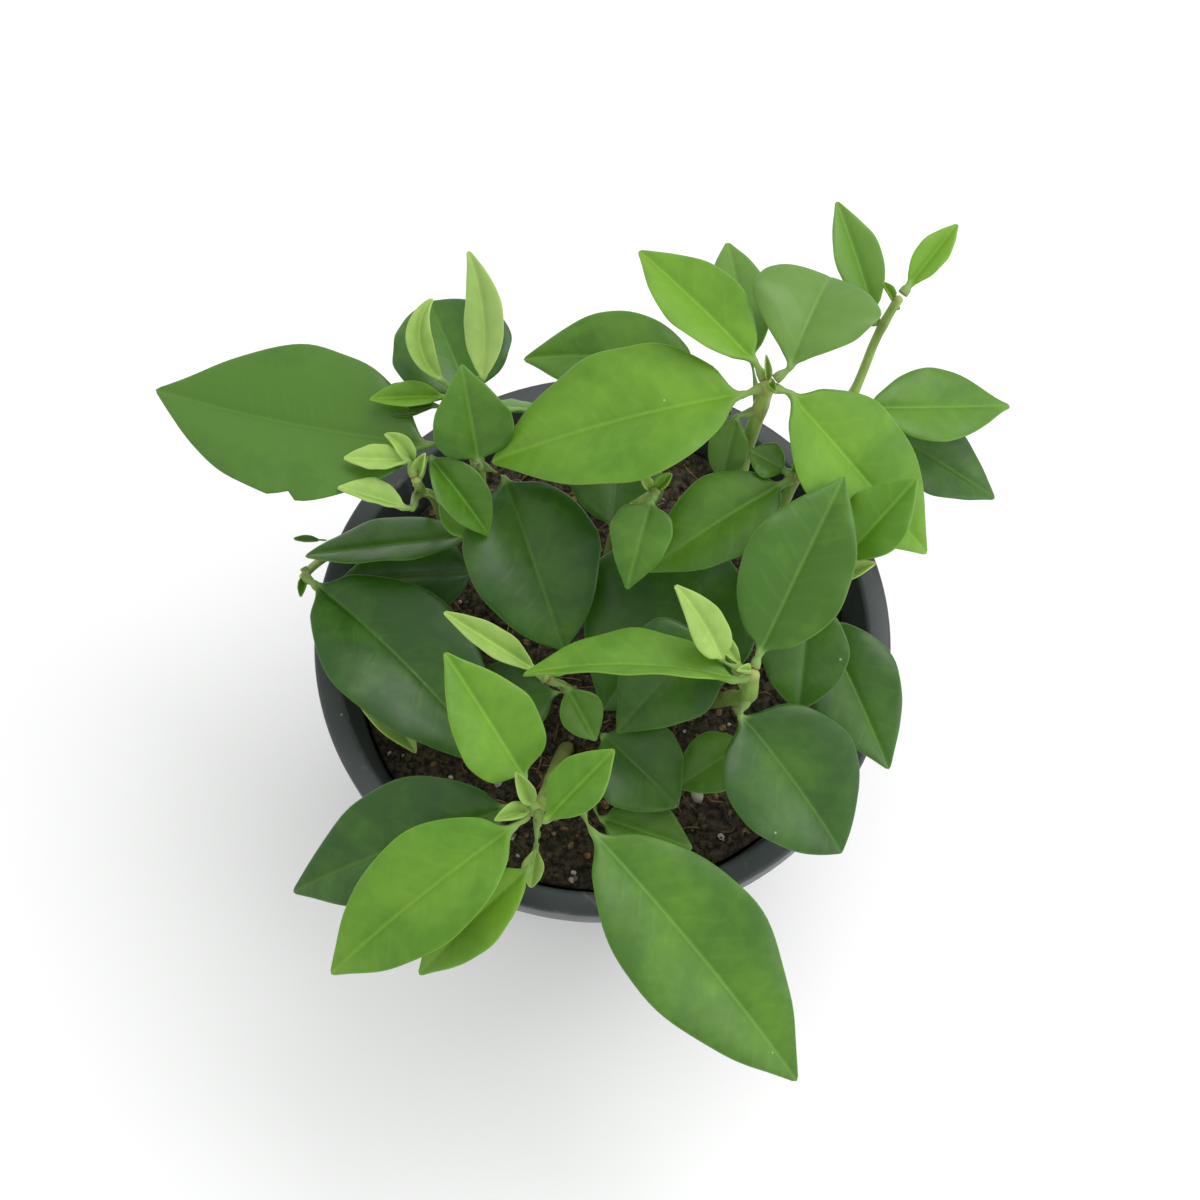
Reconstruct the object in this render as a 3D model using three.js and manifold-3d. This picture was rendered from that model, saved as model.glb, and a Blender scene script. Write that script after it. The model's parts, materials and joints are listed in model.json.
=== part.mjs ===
// A potted peperomia: a round plastic nursery pot, its potting soil, twelve grown shoots and their leaves.
// Millimetres, +Z up. The origin is the middle of the pot's flat underside, and +Y is the back of the plant.
// Each leaf is one grown piece: a round petiole that widens into a thin blade along a curved midrib.

import * as THREE from 'three';
import { mergeVertices } from 'three/addons/utils/BufferGeometryUtils.js';
import Module from 'manifold-3d';

// Driving dimensions of the pot.
const potHeight = 85;
const rimRadius = 60;
const rimWidth = 5;
const rimBand = 7.5;
const baseRadius = 37;
const wall = 1.4;
const floorThickness = 2;
const potFacets = 48;
const cornerChamfer = 0.8;
const skirtDraft = 0.3;
const skirtFootInset = 0.4;
const drainHoles = 6;
const drainHoleRadius = 3.5;
const drainCircleRadius = 27;
const drainFacets = 16;

// Driving dimensions of the soil.
const soilDepthBelowRim = 12;
const soilMound = 1.6;
const soilEdgeDip = 0.4;
const soilFacets = 36;
const soilRingShares = [1, 0.86, 0.7, 0.54, 0.36, 0.18, 0];
const clearance = 0.3;

// Driving dimensions of the plant. Heights in the shoot lists are measured from the top of the rim.
const socketClearance = 0.35;
const socketExtraDepth = 0.4;
const bladeThickness = 1.0;
const petioleRadius = 0.75;
const petioleTaper = 0.2;
const stemSides = 8;
const stepLength = 6;
const midribSteps = 40;

const degrees = Math.PI / 180;
const wasm = await Module();
wasm.setup();

const plant = new THREE.Group();

// Finishes, by how old the leaf is.
const finishes = {
  plastic: { color: 0x4a5356, roughness: 0.45 },
  soil: { color: 0x2a221b, roughness: 0.95 },
  stem: { color: 0x8aa552, roughness: 0.5 },
  mature: { color: 0x35702d, roughness: 0.35 },
  middle: { color: 0x4f8c3a, roughness: 0.4 },
  bright: { color: 0x74a83c, roughness: 0.4 },
  pale: { color: 0xa9c46c, roughness: 0.45 },
};

function addPiece(name, geometry, finish) {
  const material = new THREE.MeshStandardMaterial({ ...finishes[finish], metalness: 0 });
  const mesh = new THREE.Mesh(geometry, material);
  mesh.name = name;
  plant.add(mesh);
}

// Joins a geometry's shared corners, so that its faces make one closed skin.
function closedSkin(geometry) {
  const bare = geometry.clone();
  bare.deleteAttribute('normal');
  bare.deleteAttribute('uv');
  return mergeVertices(bare, 1e-4);
}

function toSolid(geometry) {
  const skin = closedSkin(geometry);
  return new wasm.Manifold(new wasm.Mesh({
    numProp: 3,
    vertProperties: Float32Array.from(skin.attributes.position.array),
    triVerts: Uint32Array.from(skin.index.array),
  }));
}

function toGeometry(solid) {
  const mesh = solid.getMesh();
  const geometry = new THREE.BufferGeometry();
  geometry.setAttribute('position', new THREE.BufferAttribute(mesh.vertProperties, 3));
  geometry.setIndex(new THREE.BufferAttribute(mesh.triVerts, 1));
  return geometry;
}

// Turns a profile of [radius, height] points about the Z axis.
function turned(profile, facets) {
  const points = profile.map(([radius, height]) => new THREE.Vector2(radius, height));
  return new THREE.LatheGeometry(points, facets).rotateX(Math.PI / 2);
}

// ---------------------------------------------------------------- pot and soil

// The inside radius of the tapered wall at a height.
function innerRadius(height) {
  const topInner = rimRadius - rimWidth;
  const share = (height - floorThickness) / (potHeight - floorThickness);
  return baseRadius - wall + share * (topInner - baseRadius + wall);
}

function makePot() {
  const rimTop = potHeight;
  const bandFoot = rimTop - rimBand;
  const profile = [
    [0, 0],
    [baseRadius - cornerChamfer, 0],
    [baseRadius, cornerChamfer],
    [innerRadius(bandFoot - wall) + wall, bandFoot - wall],
    [innerRadius(bandFoot) + wall, bandFoot],
    [innerRadius(rimTop - wall) + wall, rimTop - wall],
    [rimRadius - wall, rimTop - wall],
    [rimRadius - wall - skirtDraft, bandFoot],
    [rimRadius - skirtFootInset, bandFoot],
    [rimRadius, rimTop - cornerChamfer],
    [rimRadius - cornerChamfer, rimTop],
    [innerRadius(rimTop) + cornerChamfer, rimTop],
    [innerRadius(rimTop), rimTop - cornerChamfer],
    [innerRadius(floorThickness), floorThickness],
    [0, floorThickness],
  ];
  let pot = toSolid(turned(profile, potFacets));
  for (let hole = 0; hole < drainHoles; hole += 1) {
    const angle = (hole + 0.5) * 2 * Math.PI / drainHoles;
    const drill = new THREE.CylinderGeometry(drainHoleRadius, drainHoleRadius, 4 * floorThickness, drainFacets);
    drill.rotateX(Math.PI / 2);
    drill.translate(drainCircleRadius * Math.cos(angle), drainCircleRadius * Math.sin(angle), 0);
    pot = pot.subtract(toSolid(drill));
  }
  return toGeometry(pot);
}

// The soil's surface: a low mound with gentle lumps.
function soilHeight(x, y) {
  const level = potHeight - soilDepthBelowRim;
  const spread = Math.hypot(x, y) / rimRadius;
  const clods = 0.5 * Math.sin(x / 4.7 + 1) * Math.cos(y / 5.3);
  const crumbs = 0.35 * Math.sin((x + y) / 2.9);
  return level + soilMound * (1 - spread * spread) + clods + crumbs;
}

function makeSoil(stems) {
  const level = potHeight - soilDepthBelowRim;
  const edge = innerRadius(level - soilMound) - clearance;
  const bottom = floorThickness + clearance;
  const bottomEdge = innerRadius(bottom) - clearance;
  const profile = [[0, bottom], [bottomEdge, bottom]];
  soilRingShares.forEach((share) => profile.push([edge * share, level]));
  const geometry = turned(profile, soilFacets);
  const position = geometry.attributes.position;
  for (let i = 0; i < position.count; i += 1) {
    if (position.getZ(i) > bottom + 1) {
      const x = position.getX(i);
      const y = position.getY(i);
      const atWall = Math.hypot(x, y) > edge - 0.01;
      position.setZ(i, atWall ? level - soilEdgeDip : soilHeight(x, y));
    }
  }
  let soil = toSolid(geometry);
  stems.forEach((stem) => {
    soil = soil.subtract(toSolid(tube(stem.path, stem.radius + socketClearance, socketExtraDepth)));
  });
  return toGeometry(soil);
}

// ---------------------------------------------------------------- shoots

function curveThrough(path) {
  const points = path.map(([x, y, height]) => new THREE.Vector3(x, y, potHeight + height));
  return new THREE.CatmullRomCurve3(points, false, 'centripetal');
}

// A round bar along a shoot's path. extraDepth makes it start a little lower, for the socket in the soil.
function tube(path, radius, extraDepth = 0) {
  const [x, y, height] = path[0];
  const curve = curveThrough([[x, y, height - extraDepth], ...path.slice(1)]);
  const section = new THREE.Shape();
  for (let side = 0; side < stemSides; side += 1) {
    const angle = side * 2 * Math.PI / stemSides;
    const corner = [radius * Math.cos(angle), radius * Math.sin(angle)];
    if (side === 0) section.moveTo(...corner);
    else section.lineTo(...corner);
  }
  const steps = Math.ceil(curve.getLength() / stepLength);
  return new THREE.ExtrudeGeometry(section, { steps, extrudePath: curve, curveSegments: 1 });
}

// Each shoot starts in the soil and passes through the nodes where its leaves join.
const shoots = {
  left_shoot: {
    radius: 1.5,
    path: [[-15, 6, -24], [-19, 10, -10], [-25, 19, 8], [-25, 26, 28], [-28, 30, 41], [-26, 32, 50]],
  },
  left_side_shoot: {
    radius: 1.1,
    path: [[-28, 14, -24], [-32, 22, -8], [-35, 27, 8], [-36, 24, 18], [-36, 19, 30], [-36, 16, 42]],
  },
  trailing_shoot: {
    radius: 1.0,
    path: [[-36, 8, -24], [-40, 15, -10], [-49, 20, 2], [-58, 15, 5], [-61, 8, 12]],
  },
  back_right_shoot: {
    radius: 1.7,
    path: [[14, 8, -24], [19, 13, -8], [26, 20, 18], [28, 24, 38], [30, 26, 52], [31, 27, 60]],
  },
  far_right_shoot: {
    radius: 1.1,
    path: [[26, 14, -24], [32, 21, -6], [41, 30, 16], [46, 34, 27], [50, 38, 35], [54, 45, 47], [57, 48, 55]],
  },
  middle_right_shoot: {
    radius: 1.3,
    path: [[22, 0, -24], [26, 4, -6], [33, 11, 26], [37, 15, 45]],
  },
  centre_shoot: {
    radius: 1.1,
    path: [[0, 15, -24], [1, 17, 0], [4, 16, 24], [10, 11, 47]],
  },
  right_shoot: {
    radius: 1.7,
    path: [[17, -9, -24], [21, -13, -6], [26, -21, 20], [28, -25, 33], [28, -24, 41]],
  },
  right_side_shoot: {
    radius: 1.2,
    path: [[33, -3, -24], [36, -3, -6], [40, -2, 18], [42, -3, 34]],
  },
  front_shoot: {
    radius: 1.6,
    path: [[-6, -16, -24], [-8, -23, -8], [-11, -38, 12], [-12, -44, 23], [-13, -47, 31]],
  },
  front_low_shoot: {
    radius: 1.4,
    path: [[4, -18, -24], [2, -25, -8], [-3, -36, 10], [-5, -42, 21]],
  },
  centre_front_shoot: {
    radius: 1.0,
    path: [[-4, -8, -24], [-5, -11, -8], [-8, -17, 16], [-11, -20, 29]],
  },
};

// ---------------------------------------------------------------- leaves

// The unit vector of a compass heading (0 = +X, 90 = +Y) and a rise above level, in degrees.
function pointing(heading, rise) {
  const level = Math.cos(rise * degrees);
  return new THREE.Vector3(
    level * Math.cos(heading * degrees),
    level * Math.sin(heading * degrees),
    Math.sin(rise * degrees),
  );
}

// How wide the blade is along its midrib, from 0 at the base to 0 at the tip, 1 at its widest.
function bladeWidth(along, widest, tipPower) {
  const basePower = tipPower * widest / (1 - widest);
  const height = (t) => t ** basePower * (1 - t) ** tipPower;
  return height(along) / height(widest);
}

// Where the leaf's rings lie on the blade, as shares of its length.
const bladeStations = [0.1, 0.25, 0.42, 0.59, 0.76, 0.91];
const ringCorners = 8;

// A blade ring's four slanting corners: their share of the half width, and of the lens's height.
const slantReach = 0.8;
const slantHeight = 1.2;

// A petiole that nearly follows its shoot starts no further out than this sine allows.
const leastSine = 0.5;

// A leaf is a sphere's grid of rings, laid along the petiole and the midrib. Its first and last points are poles.
function leafGeometry(leaf) {
  const { radius, path } = shoots[leaf.shoot];
  const curve = curveThrough(path);
  const [x, y, height] = path[leaf.node];
  const joint = new THREE.Vector3(x, y, potHeight + height);
  const petioleAim = pointing(leaf.petioleHeading, leaf.petioleRise);

  // The petiole's foot stands just clear of the shoot's skin.
  const shootAim = curve.getTangent(leaf.node / (path.length - 1));
  const alongShoot = Math.abs(shootAim.dot(petioleAim));
  const acrossShoot = Math.sqrt(1 - alongShoot * alongShoot);
  const reach = (radius + clearance + petioleRadius * alongShoot) / Math.max(acrossShoot, leastSine);
  const foot = joint.clone().addScaledVector(petioleAim, reach);
  const base = foot.clone().addScaledVector(petioleAim, leaf.petiole);

  const geometry = new THREE.SphereGeometry(1, ringCorners, bladeStations.length + 3);
  const position = geometry.attributes.position;
  const place = (ring, corner, point) => {
    position.setXYZ(ring * (ringCorners + 1) + corner, point.x, point.y, point.z);
  };
  const frameAt = (along) => {
    const heading = leaf.heading + leaf.swing * along;
    const rise = leaf.rise - leaf.droop * along;
    const roll = (leaf.roll + leaf.twist * along) * degrees;
    const forward = pointing(heading, rise);
    const level = pointing(heading - 90, 0);
    const up = level.clone().cross(forward);
    const side = level.clone().multiplyScalar(Math.cos(roll)).addScaledVector(up, Math.sin(roll));
    return { forward, side, up: side.clone().cross(forward) };
  };

  // The midrib, stepped from the base so that it bends evenly.
  const midrib = [base.clone()];
  for (let step = 0; step < midribSteps; step += 1) {
    const { forward } = frameAt((step + 0.5) / midribSteps);
    midrib.push(midrib[step].clone().addScaledVector(forward, leaf.length / midribSteps));
  }
  const onMidrib = (along) => {
    const step = Math.min(Math.floor(along * midribSteps), midribSteps - 1);
    return midrib[step].clone().lerp(midrib[step + 1], along * midribSteps - step);
  };

  // The petiole's two round rings, with the foot's pole between the shoot and the first of them.
  const first = frameAt(0);
  [foot, base].forEach((centre, index) => {
    const share = 1 - petioleTaper * index;
    for (let corner = 0; corner <= ringCorners; corner += 1) {
      const angle = corner * 2 * Math.PI / ringCorners;
      const across = index === 0 ? crossways(petioleAim, first.side) : first;
      const point = centre.clone()
        .addScaledVector(across.side, petioleRadius * share * Math.cos(angle))
        .addScaledVector(across.up, petioleRadius * share * Math.sin(angle));
      place(index + 1, corner, point);
    }
  });
  for (let corner = 0; corner <= ringCorners; corner += 1) {
    place(0, corner, foot);
    place(bladeStations.length + 3, corner, onMidrib(1));
  }

  // The blade's lens-shaped rings, folded up about the midrib.
  bladeStations.forEach((along, index) => {
    const { side, up } = frameAt(along);
    const centre = onMidrib(along);
    const halfWidth = leaf.width / 2 * bladeWidth(along, leaf.widest, leaf.tip);
    const fold = leaf.fold * degrees;
    for (let corner = 0; corner <= ringCorners; corner += 1) {
      const angle = corner * 2 * Math.PI / ringCorners;
      const across = halfWidth * Math.cos(angle) * (corner % 2 ? slantReach : 1);
      const thickness = bladeThickness / 2 * Math.sin(angle) * (corner % 2 ? slantHeight : 1);
      const point = centre.clone()
        .addScaledVector(side, across * Math.cos(fold))
        .addScaledVector(up, Math.abs(across) * Math.sin(fold) + thickness);
      place(index + 3, corner, point);
    }
  });
  return closedSkin(geometry);
}

// The two directions across a petiole, the first as near as can be to a given side.
function crossways(aim, nearSide) {
  const up = nearSide.clone().cross(aim).normalize();
  return { side: aim.clone().cross(up).normalize(), up };
}

// What a leaf has unless its own line says otherwise.
const usualLeaf = { droop: 20, swing: 0, roll: 0, twist: 0, fold: 10, widest: 0.44, tip: 1.2, petiole: 2 };

const leaves = [];

function leaf(name, age, shoot, node, shape) {
  const petioleHeading = shape.petioleHeading ?? shape.heading;
  const petioleRise = shape.petioleRise ?? shape.rise;
  leaves.push({ ...usualLeaf, ...shape, name, age, shoot, node, petioleHeading, petioleRise });
}

// Back right crown: the brightest and highest whorl.
leaf('crown_left_leaf', 'bright', 'back_right_shoot', 5,
  { heading: 187, rise: -6, droop: 28, length: 53, width: 29, petioleHeading: 200 });
leaf('crown_upper_leaf', 'bright', 'back_right_shoot', 5,
  { heading: 131, rise: 6, droop: 18, length: 34, width: 16, fold: 22, petioleHeading: 122, petioleRise: 25 });
leaf('crown_back_leaf', 'middle', 'back_right_shoot', 4,
  { heading: 97, rise: -4, droop: 20, length: 32, width: 12, petiole: 7, petioleHeading: 100, petioleRise: 20 });
leaf('crown_fan_leaf', 'middle', 'back_right_shoot', 5,
  { heading: 67, rise: 30, droop: 66, length: 23, width: 25, widest: 0.6, tip: 0.9, petioleHeading: 30 });
leaf('crown_right_leaf', 'bright', 'back_right_shoot', 5,
  { heading: 321, rise: -30, droop: 8, length: 44, width: 25, petioleHeading: 350, petioleRise: -20 });
leaf('crown_low_leaf', 'middle', 'back_right_shoot', 3,
  { heading: 162, swing: 14, rise: -4, droop: 18, length: 38, width: 20, petiole: 18, petioleHeading: 115 });
leaf('crown_hanging_leaf', 'middle', 'back_right_shoot', 4,
  { heading: 250, rise: -60, droop: 14, length: 18, width: 8, petiole: 2.5, petioleHeading: 200, petioleRise: 0 });

// Far right shoot, which leans out over the rim.
leaf('outer_upper_leaf', 'middle', 'far_right_shoot', 5,
  { heading: 109, rise: 26, droop: 18, length: 24, width: 10, fold: 20, petiole: 1, petioleRise: 40 });
leaf('outer_tip_leaf', 'bright', 'far_right_shoot', 6,
  { heading: 50, rise: 18, droop: 8, length: 16, width: 7, fold: 25, petiole: 0.6 });
leaf('outer_right_leaf', 'middle', 'far_right_shoot', 4,
  { heading: 4, swing: 8, rise: -6, droop: 16, length: 33, width: 17, tip: 1.5, petioleHeading: 302 });
leaf('outer_low_leaf', 'mature', 'far_right_shoot', 3,
  { heading: 337, rise: -14, droop: 18, length: 31, width: 16, petiole: 8, petioleHeading: 12 });

// Left shoot.
leaf('left_big_leaf', 'mature', 'left_shoot', 4,
  { heading: 174, swing: -18, rise: 0, droop: 12, length: 59, width: 34, petiole: 6, petioleHeading: 229 });
leaf('left_upright_leaf', 'pale', 'left_shoot', 5,
  { heading: 72, swing: 50, rise: 56, droop: 6, length: 28, width: 8, fold: 20, petiole: 0.8, petioleHeading: 340 });
leaf('left_back_leaf', 'mature', 'left_shoot', 4,
  { heading: 112, rise: 12, droop: 30, length: 24, width: 24, tip: 0.8, petioleHeading: 60 });
leaf('left_diamond_leaf', 'middle', 'left_shoot', 3,
  { heading: 102, rise: 52, droop: 2, length: 21, width: 16, fold: 14, widest: 0.36,
    petiole: 12, petioleHeading: 279, petioleRise: 66 });
leaf('left_edge_leaf', 'middle', 'left_shoot', 4,
  { heading: 0, rise: -4, droop: 10, length: 14, width: 9, roll: 50, petiole: 3, petioleHeading: 25 });
leaf('left_glossy_leaf', 'mature', 'left_shoot', 2,
  { heading: 186, rise: 2, droop: 10, length: 34, width: 16, tip: 1, roll: -32,
    petiole: 6, petioleHeading: 240, petioleRise: 60 });
leaf('centre_oval_leaf', 'mature', 'left_shoot', 3,
  { heading: 290, rise: -4, droop: 24, length: 37, width: 27, tip: 0.9, widest: 0.46,
    petiole: 5, petioleHeading: 323, petioleRise: 15 });
leaf('left_under_leaf', 'mature', 'left_shoot', 2,
  { heading: 184, rise: 0, droop: 2, length: 29, width: 20, petiole: 5, petioleHeading: 262, petioleRise: -16 });

// Left side shoot: three small young leaves.
leaf('young_yellow_leaf', 'pale', 'left_side_shoot', 5,
  { heading: 178, rise: 4, droop: 8, length: 13, width: 6, fold: 25, petioleHeading: 120, petioleRise: 45 });
leaf('young_folded_leaf', 'middle', 'left_side_shoot', 5,
  { heading: 313, rise: -15, droop: 36, length: 20, width: 12, fold: 34,
    petiole: 3.6, petioleHeading: 62, petioleRise: 0 });
leaf('young_curled_leaf', 'pale', 'left_side_shoot', 4,
  { heading: 170, rise: 22, droop: 8, length: 14, width: 8, fold: 30, roll: -25,
    petiole: 9, petioleHeading: 255, petioleRise: 50 });

// Trailing shoot, over the left side of the rim.
leaf('trailing_big_leaf', 'mature', 'trailing_shoot', 4,
  { heading: 320, swing: -10, rise: 8, droop: 28, length: 56, width: 28, petiole: 0.8, petioleRise: 20 });

// Front shoot.
leaf('front_bright_leaf', 'bright', 'front_shoot', 4,
  { heading: 126, rise: 34, droop: 14, length: 29, width: 18, fold: 18, widest: 0.36,
    petiole: 4, petioleHeading: 106, petioleRise: 14 });
leaf('front_dark_leaf', 'mature', 'front_shoot', 3,
  { heading: 196, rise: -4, droop: 32, length: 49, width: 24, petiole: 3, petioleHeading: 190, petioleRise: 20 });
leaf('front_left_leaf', 'bright', 'front_shoot', 4,
  { heading: 214, rise: -8, droop: 32, length: 48, width: 23, fold: 14, petioleHeading: 232, petioleRise: 28 });
leaf('front_lower_leaf', 'bright', 'front_shoot', 3,
  { heading: 219, rise: -16, droop: 24, length: 32, width: 13, petiole: 10, petioleHeading: 261, petioleRise: 0 });
leaf('front_young_leaf', 'bright', 'front_shoot', 4,
  { heading: 42, rise: 28, droop: 10, length: 19, width: 11, fold: 20, widest: 0.5,
    petiole: 4, petioleHeading: 298, petioleRise: 55 });

// Low front shoot.
leaf('front_big_leaf', 'middle', 'front_low_shoot', 3,
  { heading: 313, rise: -6, droop: 38, length: 66, width: 28, petiole: 6.5, petioleHeading: 289, petioleRise: 38 });
leaf('front_under_leaf', 'middle', 'front_low_shoot', 2,
  { heading: 346, rise: -12, droop: 12, length: 20, width: 14, petiole: 5, petioleHeading: 292, petioleRise: 0 });

// Right shoot.
leaf('right_tall_leaf', 'middle', 'right_shoot', 4,
  { heading: 63, rise: 24, droop: 14, length: 38, width: 22, fold: 14, petiole: 1, petioleHeading: 70 });
leaf('right_pale_leaf', 'pale', 'right_shoot', 4,
  { heading: 120, swing: 24, rise: 44, droop: 8, length: 19, width: 8, fold: 18, widest: 0.36,
    petiole: 4, petioleHeading: 160, petioleRise: 26 });
leaf('right_folded_leaf', 'bright', 'right_shoot', 4,
  { heading: 168, swing: 18, rise: 10, droop: 32, length: 42, width: 16, fold: 24, roll: -34,
    petiole: 1, petioleHeading: 205, petioleRise: 20 });
leaf('right_dark_leaf', 'mature', 'right_shoot', 3,
  { heading: 222, rise: -10, droop: 30, length: 27, width: 21, widest: 0.34,
    petiole: 12, petioleHeading: 122, petioleRise: 0 });
leaf('right_front_leaf', 'mature', 'right_shoot', 3,
  { heading: 311, rise: -10, droop: 36, length: 35, width: 27, tip: 1, widest: 0.42, petiole: 2, petioleHeading: 245 });
leaf('right_low_leaf', 'middle', 'right_shoot', 2,
  { heading: 211, rise: -8, droop: 10, length: 17, width: 13, petiole: 8, petioleHeading: 291, petioleRise: -48 });

// Right side shoot.
leaf('right_upper_leaf', 'bright', 'right_side_shoot', 3,
  { heading: 44, rise: 30, droop: 10, length: 21, width: 13, fold: 16,
    petiole: 7, petioleHeading: 15, petioleRise: 70 });
leaf('right_glossy_leaf', 'mature', 'right_side_shoot', 2,
  { heading: 295, rise: -2, droop: 26, length: 34, width: 19, petioleHeading: 340 });
leaf('right_round_leaf', 'mature', 'right_side_shoot', 3,
  { heading: 264, rise: -18, droop: 20, length: 22, width: 17, tip: 0.9, petiole: 1.5, petioleHeading: 235 });

// Middle right shoot.
leaf('middle_leaf', 'middle', 'middle_right_shoot', 3,
  { heading: 210, rise: 0, droop: 30, length: 32, width: 18, petiole: 0.6 });
leaf('middle_small_leaf', 'middle', 'middle_right_shoot', 3,
  { heading: 152, rise: 14, droop: 10, length: 8, width: 8, petiole: 0.8 });
leaf('centre_back_leaf', 'mature', 'middle_right_shoot', 2,
  { heading: 232, rise: -6, droop: 6, length: 42, width: 37, tip: 1, petiole: 8, petioleHeading: 170, petioleRise: -50 });

// Centre shoot.
leaf('heart_leaf', 'middle', 'centre_shoot', 3,
  { heading: 253, rise: -12, droop: 28, length: 18, width: 12, widest: 0.34, petiole: 0.8, petioleRise: 25 });

// Centre front shoot.
leaf('thin_pale_leaf', 'pale', 'centre_front_shoot', 3,
  { heading: 151, rise: 20, droop: 8, length: 22, width: 7, fold: 32, petiole: 0.6 });
leaf('front_middle_leaf', 'mature', 'centre_front_shoot', 2,
  { heading: 319, rise: -4, droop: 26, length: 21, width: 19, tip: 1, petiole: 12, petioleHeading: 306, petioleRise: 6 });
leaf('centre_pale_leaf', 'middle', 'centre_front_shoot', 3,
  { heading: 302, rise: -22, droop: 14, length: 12, width: 9, petiole: 3, petioleHeading: 340, petioleRise: -28 });

// ---------------------------------------------------------------- assembly

addPiece('pot', makePot(), 'plastic');
addPiece('potting_soil', makeSoil(Object.values(shoots)), 'soil');
Object.entries(shoots).forEach(([name, shoot]) => addPiece(name, closedSkin(tube(shoot.path, shoot.radius)), 'stem'));
leaves.forEach((one) => addPiece(one.name, leafGeometry(one), one.age));

export default plant;
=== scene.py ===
# %% [markdown]
# # A potted peperomia
# The plant is a bushy houseplant with thick, glossy oval leaves on fleshy shoots, in a round plastic nursery
# pot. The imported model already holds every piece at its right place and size, as plain faceted solids.
# This lesson rebuilds each of them as a finer mesh, reading its place from the solid, and gives it a finish.
# Blender works in metres here, with Z up and the origin in the middle of the pot's underside.

import json
import math

import bmesh
import bpy
import numpy as np
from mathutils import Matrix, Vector, noise
from mathutils.bvhtree import BVHTree

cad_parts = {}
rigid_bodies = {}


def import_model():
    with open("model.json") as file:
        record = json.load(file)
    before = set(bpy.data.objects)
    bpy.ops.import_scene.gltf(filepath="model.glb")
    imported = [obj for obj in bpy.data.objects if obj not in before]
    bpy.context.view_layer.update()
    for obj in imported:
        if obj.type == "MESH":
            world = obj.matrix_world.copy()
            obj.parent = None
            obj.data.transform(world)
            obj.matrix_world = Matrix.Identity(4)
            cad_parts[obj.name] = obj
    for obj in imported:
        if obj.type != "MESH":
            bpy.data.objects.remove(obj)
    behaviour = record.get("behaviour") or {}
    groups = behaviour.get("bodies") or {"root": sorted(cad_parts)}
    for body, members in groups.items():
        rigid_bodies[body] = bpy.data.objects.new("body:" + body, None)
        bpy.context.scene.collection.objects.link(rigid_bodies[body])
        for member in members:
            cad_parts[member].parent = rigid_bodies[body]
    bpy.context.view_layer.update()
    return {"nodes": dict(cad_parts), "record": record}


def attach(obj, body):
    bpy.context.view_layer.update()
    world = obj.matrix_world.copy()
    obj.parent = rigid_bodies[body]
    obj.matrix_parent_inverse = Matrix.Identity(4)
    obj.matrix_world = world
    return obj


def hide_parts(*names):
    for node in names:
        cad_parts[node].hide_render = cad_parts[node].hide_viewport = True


for leftover in list(bpy.data.objects):
    bpy.data.objects.remove(leftover)

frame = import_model()
nodes = frame["nodes"]
slots = {part["node"]: part["material_slot"] for part in frame["record"]["subparts"]}
MM = 0.001

# %% [markdown]
# ## Reading a solid
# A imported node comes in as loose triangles, three corners each. Before its shape can be followed, the corners
# that lie on each other are joined. From then on, each corner knows its neighbours, and a walk from ring to
# ring can find the order in which the piece grew.

# %% Join a node's corners
JOIN_DISTANCE = 2e-6


def skin_of(name):
    """The node's joined corners as an array, and the set of neighbours of each."""
    skin = bmesh.new()
    skin.from_mesh(nodes[name].data)
    bmesh.ops.remove_doubles(skin, verts=skin.verts, dist=JOIN_DISTANCE)
    skin.verts.index_update()
    points = np.array([corner.co[:] for corner in skin.verts])
    beside = [{edge.other_vert(corner).index for edge in corner.link_edges} for corner in skin.verts]
    skin.free()
    return points, beside


def walk(start, beside):
    """Rings of corners, each made of the neighbours of the ring before it."""
    seen, rings = set(start), [set(start)]
    while rings[-1]:
        ring = set().union(*(beside[corner] for corner in rings[-1])) - seen
        seen |= ring
        rings.append(ring)
    return [sorted(ring) for ring in rings[:-1]]


pot_points, _ = skin_of("pot")
pot_top = pot_points[:, 2].max()
pot_reach = np.hypot(pot_points[:, 0], pot_points[:, 1])
print("pot height", round(pot_top / MM, 1), "mm, rim radius", round(pot_reach.max() / MM, 1), "mm")

# %% [markdown]
# ## Camera
# The plant is seen from above and in front. A long lens a short arm's length away keeps the pot's round rim
# nearly round. The elevation and distance are set once, from the middle of the rim, so that a change to the
# plant never moves the view. A small lens shift sets the pot a little low, under its leaves.

# %% Place the camera
ELEVATION = math.radians(69)
DISTANCE = 0.48
FOCAL_LENGTH = 69.3
rim_centre = Vector((0, 0, pot_top))
camera_data = bpy.data.cameras.new("camera")
camera_data.lens = FOCAL_LENGTH
camera_data.sensor_width = 36
camera_data.shift_x = -0.0021
camera_data.shift_y = 0.0286
camera_data.clip_start = 0.01
camera = bpy.data.objects.new("camera", camera_data)
camera.location = rim_centre + DISTANCE * Vector((0, -math.cos(ELEVATION), math.sin(ELEVATION)))
camera.rotation_euler = (math.pi / 2 - ELEVATION, 0, 0)
bpy.context.scene.collection.objects.link(camera)
bpy.context.scene.camera = camera
print("camera at", tuple(round(c, 3) for c in camera.location))

# %% [markdown]
# ## Making meshes
# Every piece below is a grid of rows, each row a closed loop, with the two ends closed by a fan. One function
# lays such a grid, and another hands a finished mesh to the scene: it rides on the part's only body and hides
# the plain solid that it stands for.

# %% Mesh helpers


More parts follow.
